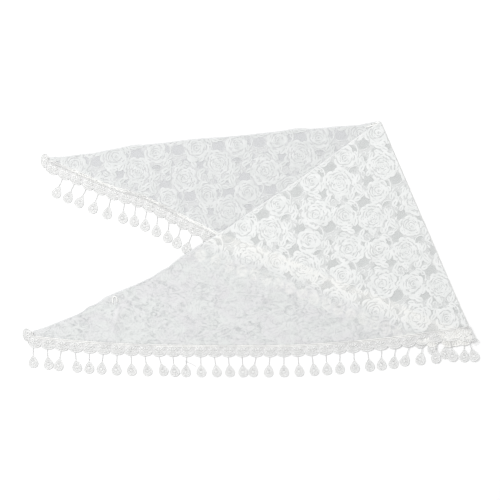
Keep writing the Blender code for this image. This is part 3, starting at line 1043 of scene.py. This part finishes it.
def hem_finish():
    """A narrow turned hem with painted shade on its rim, pale in places."""
    finish = Finish("lace_hem", "lace", 0.66, sheen=0.3)
    patchy = finish.patches(36.0, 0.42, 0.6, 0.0, 0.9)
    pale = finish.math("MULTIPLY", finish.attribute("pale"), patchy)
    tone = finish.mix(pale, HEM_DULL, HEM_CREAM)
    blotch = finish.patches(110.0, 0.4, 0.62, 0.0, 0.35)
    share = finish.math("MINIMUM", finish.math("ADD", finish.attribute("rim"), blotch), 1.0)
    finish.set("Base Color", finish.mix(share, tone, HEM_PAINTED_SHADE))
    finish.twist(30.0, 1.3, 1200.0)
    return finish


# The trims

class Trim:
    """One guipure trim: where its scallops and pendants lie."""

    def __init__(self, node, header, sizes, swings):
        self.header = Route(header)
        self.sizes = sizes
        self.swings = np.array(swings).T
        self.top = Top(node)
        self.pitch = (self.header.length - sizes["first_notch"]) / sizes["scallops"]
        self.start = sizes["first_notch"] - TIP_SCALLOPS * self.pitch
        self.count = TIP_SCALLOPS + sizes["scallops"]
        self.pendants = range(self.count - sizes["bare"])

    def station(self, distance):
        """The trim's top line at a distance along it, and the angle that points outwards."""
        sizes = self.sizes
        point, along = self.header.at(min(max(distance, 0.0), self.header.length))
        angle = math.degrees(math.atan2(-along[0], along[1])) % 360.0
        if distance >= 0.0:
            turn = soft(self.header.length - distance, sizes["end_length"])
            return point, angle + (sizes["end_turn"] - angle) * turn
        share = 1 - distance / self.start
        angle = sizes["tip_start"] + (angle - sizes["tip_start"]) * share
        return np.array(sizes["tip"]) + unit(angle) * sizes["tip_radius"], angle

    def reach(self, distance, share):
        """How far out the trim reaches, at a distance along it and a share of its scallop."""
        sizes = self.sizes
        end = soft(self.header.length - distance, sizes["end_length"])
        curve = max(end, math.sqrt(max(0.0, 1.0 - (2 * share - 1) ** 2)))
        notch = NOTCH_DEPTH - NOTCH_CUT
        reach = notch + (SCALLOP_DEPTH - notch) * curve
        if distance < 0.0:
            tip = min(1.0, 2 * distance / self.start)
            reach *= 1.0 + (sizes["tip_depth"] / SCALLOP_DEPTH - 1.0) * tip
        return reach * (1.0 + (sizes["end_depth"] / SCALLOP_DEPTH - 1.0) * end)

    def spot(self, k, share, part, lift=0.0):
        """A place in scallop k: a share along it and a part of the way out."""
        distance = self.start + (k + share) * self.pitch
        point, angle = self.station(distance)
        inside = min(max(share, 0.0), 1.0)
        x, y = point + unit(angle) * self.reach(distance, inside) * part
        return np.array([x, y, self.top(x, y) + lift])

    def pendant(self, n):
        """A function that gives places of pendant n: across it, down from its root, and lift."""
        root = self.spot(n + self.sizes["bare"], 0.5, 1.0)[:2]
        lean = math.atan2(np.interp(n, *self.swings), HEART_DOWN)
        down = np.array([math.sin(lean), -math.cos(lean)])
        side = np.array([-down[1], down[0]])

        def place(across, along, lift):
            x, y = root + side * across + down * along
            return np.array([x, y, self.top(x, y) + lift])

        return place

    def edge_line(self, away, lift, step):
        """A line of places beside the top line."""
        line = []
        distance = self.start
        while distance < self.header.length:
            point, angle = self.station(distance)
            x, y = point + unit(angle) * away
            line.append(np.array([x, y, self.top(x, y) + lift]))
            distance += step
        return line


CORD = 0.72
FINE_CORD = 0.46
FAN_BARS = (0.14, 0.26, 0.38, 0.5, 0.62, 0.74, 0.86)


def drop_line(share, steps):
    """Teardrop outline round its heart, at a share of its size."""
    turns = [2 * math.pi * k / steps for k in range(steps)]
    sides = [math.sin(t) * math.sin(t / 2) ** DROP_FULLNESS for t in turns]
    spread = 0.5 * DROP_WIDTH / max(sides)
    heart = DROP_HEART * DROP_HEIGHT
    line = []
    for t, side in zip(turns, sides):
        down = 0.5 * DROP_HEIGHT * (1 - math.cos(t))
        line.append((side * spread * share, heart + (down - heart) * share))
    return line


def cord_trim(trim, name, finish):
    """All cords of one trim, as one joined mesh."""
    build = Build()

    def cord(spots, radius, **more):
        build.tube([trim.spot(*spot) for spot in spots], radius, dim=0.0, **more)

    for k in range(trim.count):
        rim = [trim.spot(k, s, 0.965, 0.2) for s in np.linspace(0.0, 1.0, 11)]
        # The rim cord gets painted shade, deepest at the notches
        build.tube(rim, 0.8, sides=6, dim=lambda t: 0.1 + 0.3 * np.abs(2 * t - 1) ** 5)
        cord([(k, s, 0.80, 0.15) for s in np.linspace(0.09, 0.91, 9)], FINE_CORD)
        arch = [(s, 0.36 + 0.26 * math.sin(math.pi * s)) for s in np.linspace(0.1, 0.9, 9)]
        cord([(k, s, part, 0.15) for s, part in arch], CORD)
        for s in FAN_BARS:
            cord([(k, 0.5 + (s - 0.5) * 0.45, 0.5, 0.1), (k, s, 0.93, 0.15)], FINE_CORD, sides=4)
        for s in (0.14, 0.86):
            cord([(k, 0.5, 0.14, 0.25), (k, s, 0.56, 0.25)], CORD)
            cord([(k, 1.0 - s, 0.14, 0.2), (k, 0.5, 0.6, 0.2)], CORD)
        cord([(k, 0.5, 0.2, 0.2), (k, 0.5, 0.66, 0.2)], CORD)
        knot = trim.spot(k, 0.0, 0.93, 0.3)
        ends = [knot + (0, -1.1, 0), knot + (0, 0, 0.2), knot + (0, 1.1, 0)]
        build.tube(ends, lambda t: 1.3 - 1.6 * abs(t - 0.5), sides=6, dim=0.0)
    for n in trim.pendants:
        hang_cords(build, trim, n)
    return build.object(name, finish)


def shaded_stretches(share):
    """How much painted shade darkens the header cords and the seam, in uneven stretches along
    them.
    """
    return 0.5 * np.clip(np.sin(71.0 * share) + np.sin(27.0 * share + 1.0), 0.0, 1.0)


# Cords along the top of a trim: columns distance out, radius
HEADER_CORDS = ((0.9, 0.85), (4.0, 0.6))
HEADER_STEP = 4.4


def header_cords(trim, name, finish):
    """The two cords along the top of one trim."""
    build = Build()
    for away, radius in HEADER_CORDS:
        # Painted shade in uneven stretches along the header cords
        build.tube(trim.edge_line(away, 0.25, HEADER_STEP), radius, sides=6, dim=shaded_stretches)
    return build.object(name, finish)


def hang_cords(build, trim, n):
    """The string of one pendant, its rims, its heart and the bars between them."""
    spot = trim.pendant(n)

    def rim(share, steps, lift):
        return [spot(x, STRING_LENGTH + y, lift) for x, y in drop_line(share, steps)]

    string = [spot(0.25 * math.sin(d), d, 0.05) for d in (-1.0, 3.0, 7.0, 11.0, 15.0)]
    # Painted shade: most on the string, a little on the pendant's outer rim
    build.tube(string, 0.7, sides=6, dim=0.9)
    build.tube(rim(0.945, 22, 0.1), 0.75, sides=6, ring=True, dim=0.2)
    build.tube(rim(0.66, 16, 0.12), FINE_CORD, ring=True, dim=0.0)
    turns = np.linspace(0, 2 * math.pi, 9)[:-1]
    ring = [spot(1.5 * math.cos(t), HEART_DOWN + 1.5 * math.sin(t), 0.3) for t in turns]
    build.tube(ring, 1.1, sides=6, ring=True, dim=0.0)
    for x, y in drop_line(0.9, 18)[1::2]:
        below = STRING_LENGTH + y - HEART_DOWN
        share = 2.6 / math.hypot(x, below)
        bar = [spot(x * share, HEART_DOWN + below * share, 0.12), spot(x, STRING_LENGTH + y, 0.12)]
        # The bars get a little painted shade
        build.tube(bar, 0.4, sides=4, dim=0.2)


NETTING_SINK = 0.25
DROP_NET_SINK = 0.2


def net_trim(trim, name, finish):
    """The netted ground of one trim, as one joined mesh."""
    build = Build()
    for k in range(trim.count):
        rows = []
        for s in np.linspace(0.0, 1.0, 9):
            row = []
            for part in (0.0, 0.2, 0.5, 0.8, 0.98):
                # Painted shade on the netting by the notches, none at the top line
                dim = 0.4 * abs(2 * s - 1) ** 8 * min(1.0, 2 * part)
                row.append(build.add(trim.spot(k, s, part, -NETTING_SINK), dim=dim))
            rows.append(row)
        build.grid(rows)
    for n in trim.pendants:
        spot = trim.pendant(n)
        rows = []
        for share in (0.2, 0.5, 0.96):
            ring = [spot(x, STRING_LENGTH + y, -DROP_NET_SINK) for x, y in drop_line(share, 18)]
            rows.append([build.add(point, dim=0.0) for point in ring])
        build.grid(rows, closed=True)
    return build.object(name, finish)


# Lines of the seam on the wrong side: columns distance out, radius, how far they stray
SEAM_LINES = ((-2.0, 0.85, 1.0), (0.4, 1.0, 0.8), (2.6, 0.6, 1.2))
SEAM_STEP = 3.4


def gathered_line(half, name, finish, rng):
    """The seam on the wrong side: gathered cloth and thread along the trimmed edge."""
    build = Build()
    for away, size, loose in SEAM_LINES:
        line = []
        distance = 1.0
        while distance < half.header_run:
            point, along = half.header.at(distance)
            out = np.array([along[1], -along[0]])
            x, y = point + out * (away + rng.uniform(-loose, loose))
            line.append(np.array([x, y, half.top(x, y) + 0.35 + rng.uniform(-0.15, 0.3)]))
            distance += SEAM_STEP
        # Painted shade in uneven stretches along the seam
        build.tube(line, size, dim=shaded_stretches)
    return build.object(name, finish)


# The tuck at the top of the fold, two short rolls: columns x, y, height over what is below
TUCKS = (
    ((231, 243.5, 0.2), (241, 246, 0.7), (252, 249, 0.8), (258.5, 251, 0.5)),
    ((248, 250.5, 0.4), (254, 253, 0.6), (259.5, 255, 0.4)),
)


def lay_tucks(name, finish):
    build = Build()
    for line in TUCKS:
        path = [(x, y, front.top.draped(x, y, back.top(x, y)) + lift) for x, y, lift in line]
        build.tube(path, lambda t: 1.5 - 1.8 * abs(t - 0.5), sides=6, dim=0.0)
    return build.object(name, finish)


# Where the trims meet at the point of the shawl they are bunched, and some scallops lie
# turned or slipped down: columns x, y, turn in degrees, radius, lift
BUNCH_FLOOR = 1.6
BUNCH_SPREAD = 92.0
BUNCH_RIM = 0.6
BUNCH_CORD = 0.42
BUNCH_NET_SINK = 0.12
BUNCHED_SCALLOPS = (
    (398, -181, 262, 15.5, 0.1),
    (411, -177, 278, 17, 0.35),
    (429, -178, 292, 14.5, 0.2),
    (392, -168, 255, 14, 0.3),
    (410, -163, 285, 15.5, 0.6),
    (428, -160, 262, 15, 0.5),
    (364, -183, 250, 13, 0.2),
    (346, -180, 284, 12, 0.2),
)


def scallop_spot(trim, scallop, turn, share):
    """A place in a bunched scallop: an angle from its middle and a share of its radius."""
    x, y, middle, radius, lift = scallop
    x, y = np.array([x, y]) + unit(middle + turn) * radius * share
    return np.array([x, y, trim.top.draped(x, y, BUNCH_FLOOR) + lift])


def lay_bunch(trim, name, finish):
    """The cords of the bunched scallops."""
    build = Build()
    for scallop in BUNCHED_SCALLOPS:
        for share, size in ((1.0, BUNCH_RIM), (0.72, BUNCH_CORD), (0.4, BUNCH_CORD)):
            turns = np.linspace(-BUNCH_SPREAD, BUNCH_SPREAD, 13)
            build.tube([scallop_spot(trim, scallop, t, share) for t in turns], size, dim=0.0)
        for t in np.linspace(-78.0, 78.0, 7):
            ends = [scallop_spot(trim, scallop, t, share) for share in (0.12, 0.96)]
            build.tube(ends, BUNCH_CORD, sides=4, dim=0.0)
    return build.object(name, finish)


def net_bunch(trim, name, finish):
    """The netted ground of the bunched scallops."""
    build = Build()
    for scallop in BUNCHED_SCALLOPS:
        rows = []
        for share in (0.05, 0.35, 0.65, 0.98):
            turns = np.linspace(-BUNCH_SPREAD, BUNCH_SPREAD, 11)
            arc = [scallop_spot(trim, scallop, t, share) - (0, 0, BUNCH_NET_SINK) for t in turns]
            rows.append([build.add(point, dim=0.0) for point in arc])
        build.grid(rows)
    return build.object(name, finish)


# Threads that lie loose on the cloth and beside it: columns x, y, height over what is below
TACKING = (
    (-274, -109, 0.7), (-274.6, -101, 1), (-272.6, -95.6, 1.2),
    (-268.4, -96, 1.2), (-266, -101, 0.9), (-265.6, -106, 0.7),
)
LOOSE_END = (
    (-131, -223, 1), (-124, -226.5, 1), (-116, -230, 1.2), (-108, -235, 1.2),
)
CORNER_LOOP = (
    (444, -186, 1.2), (449.5, -180.5, 1.4), (454.5, -180.5, 1.2),
    (455.5, -184, 1), (451, -187.5, 1), (445, -189, 1),
)


def loose_thread(name, line, radius, under, finish, dim):
    """A thread through a short list of points, smoothed, resting on what is below it."""
    build = Build()
    route = Route([spot[:2] for spot in line])
    shares = np.linspace(0.0, 1.0, 4 * len(line))
    lifts = np.interp(shares, np.linspace(0.0, 1.0, len(line)), [spot[2] for spot in line])
    path = []
    for share, lift in zip(shares, lifts):
        x, y = route.at(route.length * share)[0]
        path.append((x, y, under(x, y) + lift))
    build.tube(path, radius, sides=6, dim=dim)
    return build.object(name, finish)


rng = np.random.default_rng(7)
motif_front = motif_finish("lace_motif_front", FRONT_TONES)
motif_back = motif_finish("lace_motif_back", BACK_TONES)
cream = cord_finish("cream_cord", CREAM_LIGHT, CREAM_SHADE)
guipure = cord_finish("guipure_cord", GUIPURE_LIGHT, GUIPURE_SHADE)
trim_net = trim_net_finish("guipure_net", TRIM_NET_LIGHT, TRIM_NET_SHADE, TRIM_NET_COVER)
open_net = trim_net_finish("open_guipure_net", BUNCH_NET_LIGHT, BUNCH_NET_SHADE, BUNCH_NET_COVER)
ground_front = net_finish("lace_net_front", 36.0, FRONT_NET_TONES, FRONT_NET_COVER)
ground_back = net_finish("lace_net_back", 7.0, BACK_NET_TONES, BACK_NET_COVER)
rolled = hem_finish()

front_trim = Trim("trim_front_edge", FRONT_HEADER, FRONT_TRIM, FRONT_SWING)
back_trim = Trim("trim_back_edge", BACK_HEADER, BACK_TRIM, BACK_SWING)
for n in back_trim.pendants:
    front.drops_below.append(back_trim.pendant(n)(0.0, HEART_DOWN, 0.0)[:2])

net_front = lay_net(front, "net_front_half", ground_front, True)
net_back = lay_net(back, "net_back_half", ground_back, False)
motifs_front = lay_pattern(front, "motifs_front_half", motif_front)
motifs_back = lay_pattern(back, "motifs_back_half", motif_back)
hem_front, hem_back = (
    lay_hem(half, f"hem_{side}_half", rolled) for side, half in (("front", front), ("back", back))
)
seam_back = gathered_line(back, "seam_back_half", cream, rng)

TRIMS = (("front", front_trim), ("back", back_trim))
for side, trim in TRIMS:
    header_cords(trim, f"header_{side}_trim", cream)
cords_front, cords_back = (cord_trim(trim, f"cords_{side}_trim", guipure) for side, trim in TRIMS)
for side, trim in TRIMS:
    net_trim(trim, f"netting_{side}_trim", trim_net)

lay_tucks("tucks_front_half", cream)
lay_bunch(front_trim, "bunch_front_trim", cream)
net_bunch(front_trim, "bunch_net_front_trim", open_net)
# The last number of each thread is how much painted shade darkens it
loose_thread("tacking_front_half", TACKING, 1.3, front.top, cream, 0.12)
loose_thread("thread_front_trim", LOOSE_END, 0.45, front_trim.top, guipure, 1.0)
loose_thread("loop_front_trim", CORNER_LOOP, 0.7, front_trim.top, guipure, 0.6)

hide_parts("lace_front_half")
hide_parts("lace_back_half")
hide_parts("trim_front_edge")
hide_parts("trim_back_edge")


# Floor, light and camera

FLOOR_REACH = 6.0
FLOOR_HEIGHT = -0.0008


def place_stage():
    floor = bpy.data.objects.new("floor", bpy.data.meshes.new("floor"))
    signs = ((-1, -1), (1, -1), (1, 1), (-1, 1))
    corners = [(x * FLOOR_REACH, y * FLOOR_REACH, FLOOR_HEIGHT) for x, y in signs]
    floor.data.from_pydata(corners, [], [(0, 1, 2, 3)])
    paper = bpy.data.materials.new("white_paper")
    paper.use_nodes = True
    shader = paper.node_tree.nodes["Principled BSDF"]
    shader.inputs["Base Color"].default_value = (0.95, 0.95, 0.95, 1.0)
    shader.inputs["Roughness"].default_value = 0.9
    shader.inputs["Specular IOR Level"].default_value = 0.0
    floor.data.materials.append(paper)
    bpy.context.scene.collection.objects.link(floor)


def place_light():
    scene = bpy.context.scene
    world = bpy.data.worlds.new("studio")
    world.use_nodes = True
    sky = world.node_tree.nodes["Background"].inputs
    sky["Color"].default_value = (1.0, 1.0, 1.0, 1.0)
    sky["Strength"].default_value = 0.74
    scene.world = world
    lamp = bpy.data.lights.new("window", "AREA")
    lamp.shape = "RECTANGLE"
    lamp.size = 2.2
    lamp.size_y = 1.6
    lamp.energy = 86.0
    light = bpy.data.objects.new("window", lamp)
    light.location = (-1.6, 1.6, 3.0)
    light.rotation_euler = (-light.location).to_track_quat("-Z", "Y").to_euler()
    scene.collection.objects.link(light)
    scene.view_settings.view_transform = "Standard"


def place_camera():
    lens = bpy.data.cameras.new("camera")
    lens.lens = 120.0
    lens.sensor_width = 36.0
    lens.clip_end = 50.0
    camera = bpy.data.objects.new("camera", lens)
    camera.location = (0.0, -0.002, 1.0 / 0.3 + 0.003)
    bpy.context.scene.collection.objects.link(camera)
    bpy.context.scene.camera = camera


place_stage()
place_light()
place_camera()
